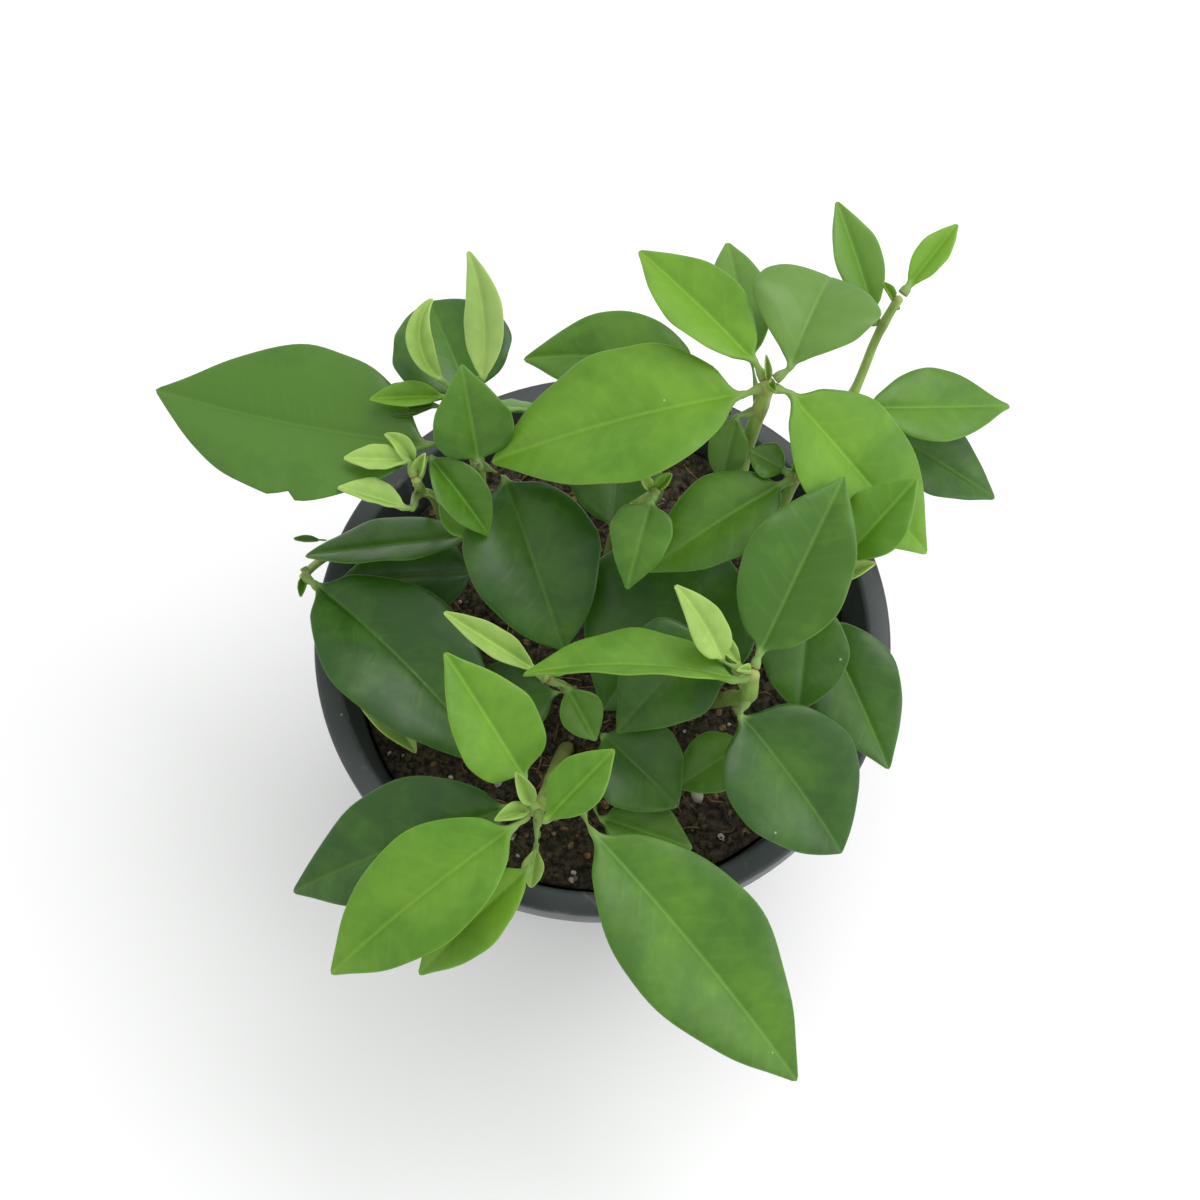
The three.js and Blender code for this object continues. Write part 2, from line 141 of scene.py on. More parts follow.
def loft(rows):
    """Faces over an array of rows x corners x 3, with a fan at each end. Returns the points and faces."""
    count, corners, _ = rows.shape
    points = np.vstack([rows.reshape(-1, 3), rows[0].mean(axis=0), rows[-1].mean(axis=0)])
    row, corner = np.meshgrid(np.arange(count - 1), np.arange(corners), indexing="ij")
    after = (corner + 1) % corners
    first, second = row * corners, (row + 1) * corners
    quads = np.stack([first + corner, first + after, second + after, second + corner], axis=-1)
    faces = [tuple(face) for face in quads.reshape(-1, 4).tolist()]
    foot, tip, last = count * corners, count * corners + 1, (count - 1) * corners
    for corner in range(corners):
        after = (corner + 1) % corners
        faces.append((foot, after, corner))
        faces.append((tip, last + corner, last + after))
    return points, faces


def make_piece(name, points, faces, finishes, values=None):
    """A smooth mesh object. values holds numbers for each corner, by name, for its material to read."""
    mesh = bpy.data.meshes.new(name)
    mesh.from_pydata(np.asarray(points).tolist(), [], faces)
    for key, numbers in (values or {}).items():
        layer = mesh.attributes.new(key, "FLOAT", "POINT")
        layer.data.foreach_set("value", np.asarray(numbers, dtype=np.float32))
    mesh.shade_smooth()
    piece = bpy.data.objects.new(name, mesh)
    bpy.context.scene.collection.objects.link(piece)
    for finish in finishes:
        mesh.materials.append(finish)
    return piece


def hand_over(piece, replaced=()):
    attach(piece, "root")
    if replaced:
        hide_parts(*replaced)


made = {}

# %% [markdown]
# ## Node helpers
# A finish is a small network of shader nodes. These helpers keep each network readable: one adds a node with
# its settings, the others are the few sums, ramps and noises that all the finishes share. Texture sizes are
# given as real sizes, so that the grain of the plastic and a leaf's mottling come out at the right scale.

# %% Shader helpers


def srgb(red, green, blue):
    """A screen colour of 0 to 255 as the linear colour that a shader wants."""
    def linear(part):
        part /= 255
        return part / 12.92 if part <= 0.04045 else ((part + 0.055) / 1.055) ** 2.4
    return (linear(red), linear(green), linear(blue), 1.0)


class Finish:
    """A material with one Principled shader, and short ways to add to it."""

    def __init__(self, name, roughness=0.5, **settings):
        self.material = bpy.data.materials.new(name)
        self.material.use_nodes = True
        self.tree = self.material.node_tree
        self.shader = self.tree.nodes["Principled BSDF"]
        self.shader.inputs["Roughness"].default_value = roughness
        for socket, value in settings.items():
            self.shader.inputs[socket.replace("_", " ")].default_value = value
        self.place = self.add("ShaderNodeTexCoord").outputs["Object"]

    def add(self, kind, **settings):
        node = self.tree.nodes.new(kind)
        for key, value in settings.items():
            setattr(node, key, value)
        return node

    def feed(self, source, socket):
        """Links an output to a socket, or sets a plain value on it."""
        if isinstance(source, bpy.types.NodeSocket):
            self.tree.links.new(source, socket)
        else:
            socket.default_value = source

    def value(self, key):
        return self.add("ShaderNodeAttribute", attribute_name=key).outputs["Fac"]

    def maths(self, operation, first, second=0.0, clamp=False):
        node = self.add("ShaderNodeMath", operation=operation, use_clamp=clamp)
        self.feed(first, node.inputs[0])
        self.feed(second, node.inputs[1])
        return node.outputs[0]

    def fade(self, source, start, end, low=1.0, high=0.0):
        """low where source is at start, high where it is at end, smooth between."""
        node = self.add("ShaderNodeMapRange", interpolation_type="SMOOTHSTEP")
        for socket, number in zip(("Value", "From Min", "From Max", "To Min", "To Max"),
                                  (source, start, end, low, high)):
            self.feed(number, node.inputs[socket])
        return node.outputs[0]

    def blend(self, share, first, second, mode="MIX"):
        node = self.add("ShaderNodeMix", data_type="RGBA", blend_type=mode)
        self.feed(share, node.inputs["Factor"])
        self.feed(first, node.inputs[6])
        self.feed(second, node.inputs[7])
        return node.outputs[2]

    def cloud(self, size, detail=2.0, stretch=(1, 1, 1), distortion=0.0):
        """Noise whose lumps are about one size across, in metres."""
        mapping = self.add("ShaderNodeMapping")
        self.feed(self.place, mapping.inputs["Vector"])
        mapping.inputs["Scale"].default_value = stretch
        node = self.add("ShaderNodeTexNoise")
        self.feed(mapping.outputs[0], node.inputs["Vector"])
        node.inputs["Scale"].default_value = 1 / size
        node.inputs["Detail"].default_value = detail
        node.inputs["Distortion"].default_value = distortion
        return node.outputs["Fac"]

    def specks(self, size, share, radius):
        """Small round spots, one in some of the cells of a grid of the given size."""
        node = self.add("ShaderNodeTexVoronoi")
        self.feed(self.place, node.inputs["Vector"])
        node.inputs["Scale"].default_value = 1 / size
        chosen = self.maths("GREATER_THAN", node.outputs["Color"], 1 - share)
        spot = self.fade(node.outputs["Distance"], radius * 0.6, radius)
        return self.maths("MULTIPLY", chosen, spot)

    def bump(self, height, distance, strength=1.0):
        node = self.add("ShaderNodeBump")
        self.feed(height, node.inputs["Height"])
        node.inputs["Distance"].default_value = distance
        node.inputs["Strength"].default_value = strength
        previous = self.shader.inputs["Normal"]
        if previous.is_linked:
            self.feed(previous.links[0].from_socket, node.inputs["Normal"])
        self.feed(node.outputs[0], previous)

    def colour(self, source):
        self.feed(source, self.shader.inputs["Base Color"])

    def roughness(self, source):
        self.feed(source, self.shader.inputs["Roughness"])

# %% [markdown]
# ## Leaf finishes
# A peperomia's leaf is thick and waxy. It starts pale and yellowish, turns a bright green, and ends a deep
# green with a stronger shine. The upper face is richer than the greyish underside, the midrib and a thin line
# round the edge are paler, and faint side veins leave the midrib at a slant. A painted texture could show all
# this on one leaf, but a network that reads each leaf's own measures works for every leaf: how far along and
# across the blade a point is, in millimetres, and on which face. One function mixes the finish for each age.

# %% Leaf finishes
VEIN_SPACING = 4.6
VEIN_SLANT = 0.75


def leaf_finish(name, dark, light, under, edge, roughness, dust=0.12, coat=0.0):
    finish = Finish(name, roughness, Coat_Weight=coat, Coat_Roughness=0.25, Specular_IOR_Level=0.4)
    across, along = finish.value("across_mm"), finish.value("along_mm")
    from_midrib = finish.maths("ABSOLUTE", across)
    patches = finish.cloud(0.017, detail=2.5, distortion=0.6)
    mottle = finish.cloud(0.0024, detail=3)

    # The blade: darker patches, a lighter middle, and each leaf a little different.
    middle = finish.fade(from_midrib, 0.0, 13.0, low=0.2, high=-0.14)
    tone = finish.maths("ADD", finish.fade(patches, 0.32, 0.7, low=0.1, high=0.7), middle)
    tone = finish.maths("ADD", tone, finish.value("leaf_tone"))
    tone = finish.maths("ADD", tone, finish.fade(mottle, 0.35, 0.7, low=-0.09, high=0.1), clamp=True)
    blade = finish.blend(tone, srgb(*dark), srgb(*light))

    # A bluish wax bloom on some leaves.
    blade = finish.blend(finish.maths("MULTIPLY", finish.value("bloom"), 0.8), blade, srgb(*under))

    # Midrib and side veins.
    rib = finish.fade(from_midrib, 0.1, 0.6, low=0.24, high=0.0)
    slant = finish.maths("SUBTRACT", along, finish.maths("MULTIPLY", from_midrib, VEIN_SLANT))
    wander = finish.maths("MULTIPLY", patches, 9.0)
    beat = finish.maths("PINGPONG", finish.maths("ADD", slant, wander), VEIN_SPACING / 2)
    vein = finish.maths("MULTIPLY", finish.fade(beat, 0.0, 0.9, low=0.045, high=0.0),
                        finish.fade(from_midrib, 2.0, 12.0, low=1.0, high=0.1))
    lines = finish.maths("ADD", rib, vein, clamp=True)
    blade = finish.blend(lines, blade, srgb(*edge))

    # The underside, the edge, and the petiole with its reddish foot.
    below = finish.value("underside")
    blade = finish.blend(finish.fade(below, 0.35, 0.65, low=0.0, high=0.9), blade, srgb(*under))
    rim = finish.fade(finish.value("edge_mm"), 0.05, 0.4, low=0.3, high=0.0)
    blade = finish.blend(rim, blade, srgb(*edge))
    petiole = finish.value("petiole")
    redness = finish.fade(petiole, 0.8, 1.0, low=0.0, high=0.35)
    stalk = finish.blend(redness, srgb(120, 152, 76), srgb(128, 92, 60))
    blade = finish.blend(finish.fade(petiole, 0.05, 0.5, low=0.0, high=0.92), blade, stalk)

    # Dust and small marks on the wax.
    spots = finish.specks(0.0042, dust, 0.07)
    blade = finish.blend(finish.maths("MULTIPLY", spots, 0.5), blade, srgb(190, 204, 168))
    finish.colour(blade)
    shine = finish.fade(finish.cloud(0.007, detail=3), 0.3, 0.72, low=roughness - 0.05, high=roughness + 0.12)
    finish.roughness(finish.maths("ADD", shine, finish.maths("MULTIPLY", below, 0.12), clamp=True))
    finish.bump(finish.cloud(0.005, detail=2), 0.00022, 0.5)
    finish.bump(finish.maths("MULTIPLY", vein, -1.0), 0.0012, 0.5)
    finish.bump(finish.cloud(0.0006, detail=2), 0.00003, 0.5)
    return finish.material


leaf_finishes = {
    "leaf_mature": leaf_finish("mature_leaf", (34, 76, 6), (66, 112, 18), (92, 128, 50), (88, 130, 36), 0.38,
                               dust=0.16, coat=0.1),
    "leaf_middle": leaf_finish("middle_leaf_green", (56, 100, 12), (88, 134, 28), (106, 142, 66),
                               (122, 166, 70), 0.42, dust=0.12, coat=0.06),
    "leaf_bright": leaf_finish("bright_leaf", (78, 126, 18), (108, 154, 38), (124, 158, 70), (142, 182, 66),
                               0.46, dust=0.08),
    "leaf_pale": leaf_finish("pale_young_leaf", (118, 156, 66), (160, 192, 96), (160, 186, 108),
                             (184, 204, 120), 0.5, dust=0.03),
}
print("leaf finishes:", ", ".join(leaf_finishes))

# %% [markdown]
# ## From eight-sided rings to a smooth leaf
# A leaf's solid is a run of rings: two round ones on the petiole and six flat ones on the blade, with a point
# at each end. Each ring gives a middle and two edges. A curve through all the middles is the midrib, and
# curves through the edges are the outline, so the fine leaf keeps the exact place and size of the solid.
# Subdividing the solid would shrink its tip and round its outline, which is why the rings are read instead.

# %% Read a leaf's rings


def unit(vectors):
    return vectors / np.maximum(np.linalg.norm(vectors, axis=-1, keepdims=True), 1e-12)


def leaf_rings(name):
    """Middles, left arms and right arms of a leaf's rings, from the petiole's foot to the blade's tip."""
    points, beside = skin_of(name)
    poles = [corner for corner, near in enumerate(beside) if len(near) == 8]
    rings = walk([poles[0]], beside)
    if np.linalg.norm(points[rings[1]].mean(axis=0) - points[poles[0]]) > 0.0003:
        rings.reverse()
    foot, tip = points[rings[0][0]], points[rings[-1][0]]
    loops = [points[ring] for ring in rings[1:-1]]
    widths = [np.linalg.norm(loop[:, None] - loop[None], axis=-1) for loop in loops]
    widest = max(range(len(loops)), key=lambda i: widths[i].max())
    one, other = np.unravel_index(widths[widest].argmax(), widths[widest].shape)
    side = unit(loops[widest][one] - loops[widest][other])
    sides = {widest: side}
    for order in (range(widest + 1, len(loops)), range(widest - 1, -1, -1)):
        near = side
        for i in order:
            reach = (loops[i] - loops[i].mean(axis=0)) @ near
            near = unit(loops[i][reach.argmax()] - loops[i][reach.argmin()])
            sides[i] = near
    middles, lefts, rights = [], [], []
    for i, loop in enumerate(loops):
        reach = (loop - loop.mean(axis=0)) @ sides[i]
        left, right = loop[reach.argmax()], loop[reach.argmin()]
        inner = np.abs((loop - (left + right) / 2) @ sides[i]).argsort()[:2]
        middle = loop[inner].mean(axis=0)
        middles.append(middle)
        lefts.append(left - middle)
        rights.append(right - middle)
    still = np.zeros(3)
    return np.array([*middles, tip]), np.array([*lefts, still]), np.array([*rights, still]), foot


leaf_names = [name for name in nodes if slots[name].startswith("leaf_")]
example_middles, example_lefts, _, _ = leaf_rings("left_big_leaf")
example_width = 2 * np.linalg.norm(example_lefts, axis=1).max() / MM
print("left_big_leaf:", len(example_middles), "stations,", round(example_width, 1), "mm wide")

# %% [markdown]
# ## The leaf itself
# Between the rings, each measure follows a smooth curve. Across the blade the two halves rise from the midrib
# like a shallow gutter with a rounded bottom and bulge a little, as a turgid leaf does. The upper face has a
# fine groove over the midrib and the underside a low ridge, the edge is rounded, and the margin waves gently.
# The petiole is a round stalk whose foot runs on into the shoot, where it has grown. One known fault is left:
# on a long petiole the smooth curve dips before the blade's steep widening, so the stalk is too thin there.

# %% Build a leaf
ACROSS = np.array([0, 0.02, 0.05, 0.1, 0.18, 0.28, 0.39, 0.5, 0.61, 0.72, 0.81, 0.88, 0.94, 0.98, 1.0])
PETIOLE_ROWS = 9
BLADE_ROWS = 46
BLADE_THICKNESS = 0.00085
TIP_RADIUS = 0.6
TIP_READ = 2.5
TIP_SHARE = 0.3
CREASE_ROUNDING = 0.12
BULGE = 0.05
GROOVE_DEPTH, GROOVE_WIDTH = 0.00030, 0.0007
RIDGE_DEPTH, RIDGE_WIDTH = 0.00045, 0.0009
ROOT_DEPTH = 1.3
NICK_LENGTH = 1.3


def smooth_through(knots, values, wanted):
    """A smooth curve through values at knots, read at the wanted places."""
    knots, values = np.asarray(knots, float), np.asarray(values, float)
    gaps = np.diff(knots)
    slopes = np.diff(values, axis=0) / gaps.reshape(-1, *[1] * (values.ndim - 1))
    bends = np.empty_like(values)
    bends[0], bends[-1] = slopes[0], slopes[-1]
    weight = (gaps[:-1] / (gaps[:-1] + gaps[1:])).reshape(-1, *[1] * (values.ndim - 1))
    bends[1:-1] = slopes[:-1] * (1 - weight) + slopes[1:] * weight
    at = np.clip(np.searchsorted(knots, wanted, side="right") - 1, 0, len(gaps) - 1)
    gap = gaps[at]
    share = (wanted - knots[at]) / gap
    shape = (-1, *[1] * (values.ndim - 1))
    share, gap = share.reshape(shape), gap.reshape(shape)
    return ((2 * share**3 - 3 * share**2 + 1) * values[at]
            + (share**3 - 2 * share**2 + share) * gap * bends[at]
            + (3 * share**2 - 2 * share**3) * values[at + 1]
            + (share**3 - share**2) * gap * bends[at + 1])


def leaf_mesh(middles, lefts, rights, seed, wave=0.35, rows=BLADE_ROWS, nick=None):
    """Points, faces and the measures that the finish reads, for a leaf on the given rings."""
    chance = np.random.default_rng(seed)
    aim = unit(middles[1] - middles[0])
    root = middles[0] - aim * ROOT_DEPTH * MM
    middles = np.vstack([root, middles])
    lefts, rights = np.vstack([lefts[:1], lefts]), np.vstack([rights[:1], rights])
    knots = np.concatenate([[0], np.cumsum(np.linalg.norm(np.diff(middles, axis=0), axis=1))])
    base, point = knots[2], knots[-1]

    # The tip is a small round, set into the angle of the two margins a little short of their point.
    half_before = np.linalg.norm(smooth_through(knots, lefts, np.array([point - TIP_READ * MM])))
    sine = math.sin(math.atan2(half_before, TIP_READ * MM))
    round_off = min(TIP_RADIUS * MM, TIP_SHARE * np.linalg.norm(lefts, axis=1).max())
    tip = point - round_off * (1 / sine - 1)
    even = np.linspace(0, 1, rows + 1)
    blade_places = base + (tip - base) * (even + 0.06 * np.sin(2 * np.pi * even) * -1)
    places = np.concatenate([np.linspace(0, base, PETIOLE_ROWS, endpoint=False), blade_places])
    along = np.clip((places - base) / (tip - base), 0, 1)

    spine = smooth_through(knots, middles, places)
    left = smooth_through(knots, lefts, places)
    right = smooth_through(knots, rights, places)
    forward = unit(np.gradient(spine, axis=0))
    side = unit(left - right + 1e-9)
    side[-1] = side[-2]

    # No leaf is quite even: each margin wanders a little, and an insect may have had a bite.
    drift = chance.uniform(0, 2 * np.pi, 4)
    for arm, turn_a, turn_b in ((left, drift[0], drift[1]), (right, drift[2], drift[3])):
        uneven = (0.03 * np.sin(2 * np.pi * 1.2 * along + turn_a)
                  + 0.014 * np.sin(2 * np.pi * 3.3 * along + turn_b))
        arm *= (1 + uneven * np.sin(np.pi * along))[:, None]
    if nick:
        place, depth = nick
        left *= (1 - depth * np.exp(-((along - place) * (tip - base) / (NICK_LENGTH * MM)) ** 2))[:, None]
    from_tip = tip - places
    circle = np.sqrt(np.maximum(round_off**2 - (round_off - from_tip) ** 2, 0))
    for arm in (left, right):
        reach_now = np.maximum(np.linalg.norm(arm, axis=1), 1e-9)
        near_tip = (from_tip < round_off * (1 - sine)) & (circle < reach_now)
        arm[near_tip] *= (circle / reach_now)[near_tip, None]
    side = unit(side - forward * np.sum(side * forward, axis=1, keepdims=True))
    up = np.cross(forward, side)
    if up[len(up) // 2, 2] < 0:
        up = -up

    signed = np.concatenate([ACROSS[::-1], -ACROSS[1:], -ACROSS[-2::-1], ACROSS[1:-1]])
    upper = np.concatenate([np.ones(2 * len(ACROSS) - 1), -np.ones(2 * len(ACROSS) - 3)])
    reach = np.abs(signed)
    arm = np.where((signed > 0)[None, :, None], left[:, None], right[:, None])
    lift = np.sum(arm * up[:, None], axis=2, keepdims=True)
    width = np.linalg.norm(arm, axis=2)
    soft = CREASE_ROUNDING
    gutter = (np.sqrt(reach**2 + soft**2) - soft) / (math.sqrt(1 + soft**2) - soft)

    # The blade's thickness, with a round edge, a groove above the midrib and a ridge below.
    taper = np.clip((1 - along) * 12, 0, 1) ** 0.5
    half = BLADE_THICKNESS / 2 * (0.35 + 0.65 * taper)[:, None] * np.sqrt(np.maximum(1 - reach**7, 0))[None]
    half = np.minimum(half, width * 0.7 + 0.0001)
    off_rib = width * reach[None]
    groove = GROOVE_DEPTH * np.exp(-(off_rib / GROOVE_WIDTH) ** 2) * np.minimum(1, (1 - along) * 3)[:, None]
    ridge = RIDGE_DEPTH * np.exp(-(off_rib / RIDGE_WIDTH) ** 2) * (1 - along)[:, None]
    height = half * upper[None] - np.where(upper[None] > 0, groove, ridge)
    height = height + BULGE * width * np.sin(np.pi * reach)[None]
    beats = chance.uniform(2.2, 3.6)
    phase = chance.uniform(0, 2 * np.pi, 2)
    ripple = np.where(signed[None] > 0, np.sin(2 * np.pi * beats * along[:, None] + phase[0]),
                      np.sin(2 * np.pi * beats * along[:, None] + phase[1]))
    swing = wave * MM * ripple * reach[None] ** 3 * np.minimum(1, width / 0.008)
    height = height + swing * np.sin(np.pi * along)[:, None]
    flat = (spine[:, None] + (arm - up[:, None] * lift) * reach[None, :, None]
            + up[:, None] * (lift * gutter[None, :, None] + height[:, :, None]))

    # The petiole's round section, which gives way to the blade near its base.
    stalk = np.linalg.norm(left, axis=1)
    stalk = np.minimum(stalk, np.linalg.norm(lefts[0]) * 1.02)
    swell = 1 + 0.35 * np.exp(-(places / 0.0022) ** 2)
    round_up = np.sqrt(np.maximum(1 - reach**2, 0)) * upper
    radius = (stalk * swell)[:, None, None]
    tube = spine[:, None] + radius * (side[:, None] * signed[None, :, None]
                                      + up[:, None] * round_up[None, :, None])
    share = np.clip(along / 0.1, 0, 1)
    share = (share**2 * (3 - 2 * share))[:, None, None]
    grid = tube * (1 - share) + flat * share

    petiole = np.clip(1 - along * 14, 0, 1) * np.interp(places, [0, base], [1, 0.6])
    flat_rows = np.ones_like(reach)
    values = {
        "across_mm": width * signed[None] / MM,
        "along_mm": np.outer((places - base) / MM, flat_rows),
        "edge_mm": width * (1 - reach)[None] / MM + 2 * np.clip(0.12 - along, 0, 1)[:, None] / 0.12,
        "underside": np.broadcast_to((upper[None] < 0) & (reach[None] < 0.99), width.shape).astype(float),
        "petiole": np.outer(petiole, flat_rows),
    }
    points, faces = loft(grid[:, ::-1])
    values = {key: np.concatenate([number[:, ::-1].ravel(), number[0, :1], number[-1, :1]])
              for key, number in values.items()}
    return points, faces, values


def make_leaf(name, rings, slot, tone, seed, replaced=(), bloom=0.0, **shape):
    points, faces, values = leaf_mesh(*rings[:3], seed, **shape)
    values["leaf_tone"] = np.full(len(points), tone)
    values["bloom"] = np.full(len(points), bloom)
    piece = make_piece(name, points, faces, [leaf_finishes[slot]], values)
    hand_over(piece, replaced)
    made[name] = piece
    return piece


# How much lighter or darker a leaf is than others of its age, and how much grey bloom it has.
tones = {
    "left_big_leaf": 0.85, "centre_oval_leaf": -0.2, "left_glossy_leaf": 0.1, "left_under_leaf": -0.2,
    "trailing_big_leaf": -0.4, "front_big_leaf": -0.1, "front_dark_leaf": -0.2, "front_left_leaf": -0.1,
    "right_dark_leaf": -0.1, "right_front_leaf": -0.25, "right_tall_leaf": -0.45, "right_folded_leaf": -0.2,
    "crown_upper_leaf": 0.3, "crown_left_leaf": 0.1, "crown_back_leaf": 0.4, "outer_upper_leaf": 0.9,
    "outer_tip_leaf": 0.4, "outer_right_leaf": 0.2, "right_upper_leaf": -0.7, "heart_leaf": -0.1,
    "front_young_leaf": -0.4, "left_upright_leaf": -0.1, "centre_back_leaf": 0.0, "front_lower_leaf": 0.3,
    "left_diamond_leaf": -0.2,
}
blooms = {
    "crown_fan_leaf": 0.6, "left_edge_leaf": 0.9, "outer_upper_leaf": 0.35, "crown_back_leaf": 0.3,
    "left_upright_leaf": 0.5, "crown_hanging_leaf": 0.6, "left_big_leaf": 0.15,
}
nicks = {"left_big_leaf": (0.42, 0.14)}
for order, name in enumerate(leaf_names):
    make_leaf(name + "_blade", leaf_rings(name), slots[name], tones.get(name, 0.0), 100 + order, (name,),
              bloom=blooms.get(name, 0.0), nick=nicks.get(name))
print("leaves:", len(leaf_names), "with", sum(len(p.data.polygons) for p in made.values()), "faces")

# %% [markdown]
# ## Shoots
# A shoot is a fleshy green bar that thickens at each node, where a leaf joins, and often reddens there. Its
# solid is an eight-sided bar, so its rings are found in the same way, starting from the eight lowest corners.
# A curve with a round bevel could make the bar, but not the swollen nodes, so it is laid as rows with their
# own radius. The feet of the leaves, which are already known, tell where the nodes are.

# %% Shoot finish and shape
stem_finish = Finish("fleshy_stem", 0.42, Specular_IOR_Level=0.45, Coat_Weight=0.05)
streaks = stem_finish.cloud(0.004, detail=3, stretch=(1, 1, 0.3))
stem_green = stem_finish.blend(stem_finish.fade(streaks, 0.3, 0.7, low=0.0, high=1.0),
                               srgb(118, 150, 62), srgb(156, 184, 94))
low_on_stem = stem_finish.value("woody")
old_bark = stem_finish.maths("MULTIPLY", low_on_stem, 0.55)
stem_green = stem_finish.blend(old_bark, stem_green, srgb(124, 108, 70))
at_node = stem_finish.fade(stem_finish.value("at_node"), 0.25, 1.0, low=0.0, high=0.32)
red_node = stem_finish.maths("MULTIPLY", at_node, stem_finish.fade(streaks, 0.2, 0.6, 0.4, 1.0))
stem_green = stem_finish.blend(red_node, stem_green, srgb(132, 96, 62))
stem_finish.colour(stem_green)
stem_finish.roughness(stem_finish.fade(stem_finish.cloud(0.003), 0.3, 0.7, low=0.36, high=0.54))
stem_finish.bump(stem_finish.cloud(0.0016, detail=3, stretch=(1, 1, 0.4)), 0.00014, 0.6)
STEM_SIDES = 18
STEM_STEP = 0.0007


def shoot_path(name):
    """The middles of a shoot's rings from its foot up, and its radius."""
    points, beside = skin_of(name)
    lowest = points[:, 2].argsort()[:8]
    rings = walk(lowest.tolist(), beside)
    middles = np.array([points[ring].mean(axis=0) for ring in rings])
    return middles, np.linalg.norm(points[rings[1]] - middles[1], axis=1).mean()


def make_shoot(name, joints):
    middles, radius = shoot_path(name)
    knots = np.concatenate([[0], np.cumsum(np.linalg.norm(np.diff(middles, axis=0), axis=1))])
    length = knots[-1] + radius
    places = np.linspace(0, length, int(length / STEM_STEP))
    spine = smooth_through(knots, middles, np.minimum(places, knots[-1]))
    forward = unit(middles[-1] - middles[-2])
    spine = spine + forward * np.maximum(places - knots[-1], 0)[:, None]
    nearest = [np.linalg.norm(spine - joint, axis=1).argmin() for joint in joints]
    at_node = np.zeros(len(places))
    for index in nearest:
        at_node = np.maximum(at_node, np.exp(-((places - places[index]) / 0.0015) ** 2))
    dome = np.sqrt(np.maximum(1 - (np.maximum(places - knots[-1], 0) / radius) ** 2, 0.02))
    thick = radius * (1.02 - 0.2 * places / length) * (1 + 0.14 * at_node) * dome
    heading = unit(np.gradient(spine, axis=0))
    across = unit(np.cross(heading, np.array([0.31, 0.95, 0.07])))
    upward = np.cross(heading, across)
    angle = np.arange(STEM_SIDES) * 2 * np.pi / STEM_SIDES
    ribs = 1 + 0.025 * np.sin(4 * angle[None] + places[:, None] * 220)
    rows = spine[:, None] + (thick[:, None] * ribs)[:, :, None] * (
        across[:, None] * np.cos(angle)[None, :, None] + upward[:, None] * np.sin(angle)[None, :, None])
    points, faces = loft(rows)
    woody = np.clip(1 - (places - 0.018) / 0.03, 0, 1)
    spread = lambda number: np.concatenate([np.repeat(number, STEM_SIDES), number[:1], number[-1:]])
    piece = make_piece(name + "_stem", points, faces, [stem_finish.material],
                       {"at_node": spread(at_node), "woody": spread(woody)})
    hand_over(piece, (name,))
    return spine


shoot_names = [name for name in nodes if slots[name] == "stem"]
leaf_feet = [leaf_rings(name)[3] for name in leaf_names]
shoot_middles = {name: shoot_path(name)[0] for name in shoot_names}
joints_of = {name: [] for name in shoot_names}
for foot in leaf_feet:
    closest = min(shoot_names, key=lambda name: np.linalg.norm(
        smooth_through(np.arange(len(shoot_middles[name])), shoot_middles[name],
                       np.linspace(0, len(shoot_middles[name]) - 1, 200)) - foot, axis=1).min())
    joints_of[closest].append(foot)
shoot_spines = {name: make_shoot(name, joints_of[name]) for name in shoot_names}
print("shoots:", {name: len(joints) for name, joints in joints_of.items()})

# %% [markdown]
# ## Buds and the smallest leaves
# Between the leaves that the frame holds there are young ones that are still opening: pale crescents, folded
# pairs and buds at the tips of the shoots. Three larger leaves, low in the middle and under the trailing one,
# are here as well, because the frame has no room for more pieces. None of these has weight or contact. Each
# starts on a shoot, at a share of its length, and is aimed with a heading and a rise.

# %% Young leaves


def pointing(heading, rise):
    heading, rise = math.radians(heading), math.radians(rise)
    return np.array([math.cos(rise) * math.cos(heading), math.cos(rise) * math.sin(heading), math.sin(rise)])


def young_rings(shoot, share, heading, rise, length, width, petiole=1.0, droop=15, swing=0, fold=30, roll=0,
                petiole_heading=None, petiole_rise=None, lift=(0, 0, 0)):
    """The same rings as a packed leaf has, worked out from its aim. Sizes in millimetres."""
    spine = shoot_spines[shoot]
    start = spine[int(share * (len(spine) - 1))] + np.array(lift) * MM
    stalk = pointing(heading if petiole_heading is None else petiole_heading,
                     rise if petiole_rise is None else petiole_rise)
    middles, lefts, rights = [start, start + stalk * petiole * MM], [], []
    steps = [0.0, 0.1, 0.25, 0.42, 0.59, 0.76, 0.91, 1.0]
    for before, after in zip(steps, steps[1:]):
        middle = (before + after) / 2
        ahead = pointing(heading + swing * middle, rise - droop * middle)
        middles.append(middles[-1] + ahead * (after - before) * length * MM)
    stalk_radius = min(0.6, width / 9)
    for index in range(len(middles)):
        along = steps[max(index - 1, 0)]
        level = pointing(heading + swing * along - 90, 0)
        ahead = pointing(heading + swing * along, rise - droop * along)
        upward = np.cross(level, ahead)
        turn = math.radians(roll)
        side = level * math.cos(turn) + upward * math.sin(turn)
        upward = np.cross(side, ahead)
        half = width / 2 * (along**0.94 * (1 - along) ** 1.2) / 0.23
        half = stalk_radius if index < 2 else half
        bend = math.radians(fold) if index >= 2 else 0.0
        lifted = upward * half * math.sin(bend) * MM
        rights.append(-side * half * math.cos(bend) * MM + lifted)
        lefts.append(side * half * math.cos(bend) * MM + lifted)
    return np.array(middles), np.array(lefts), np.array(rights), start


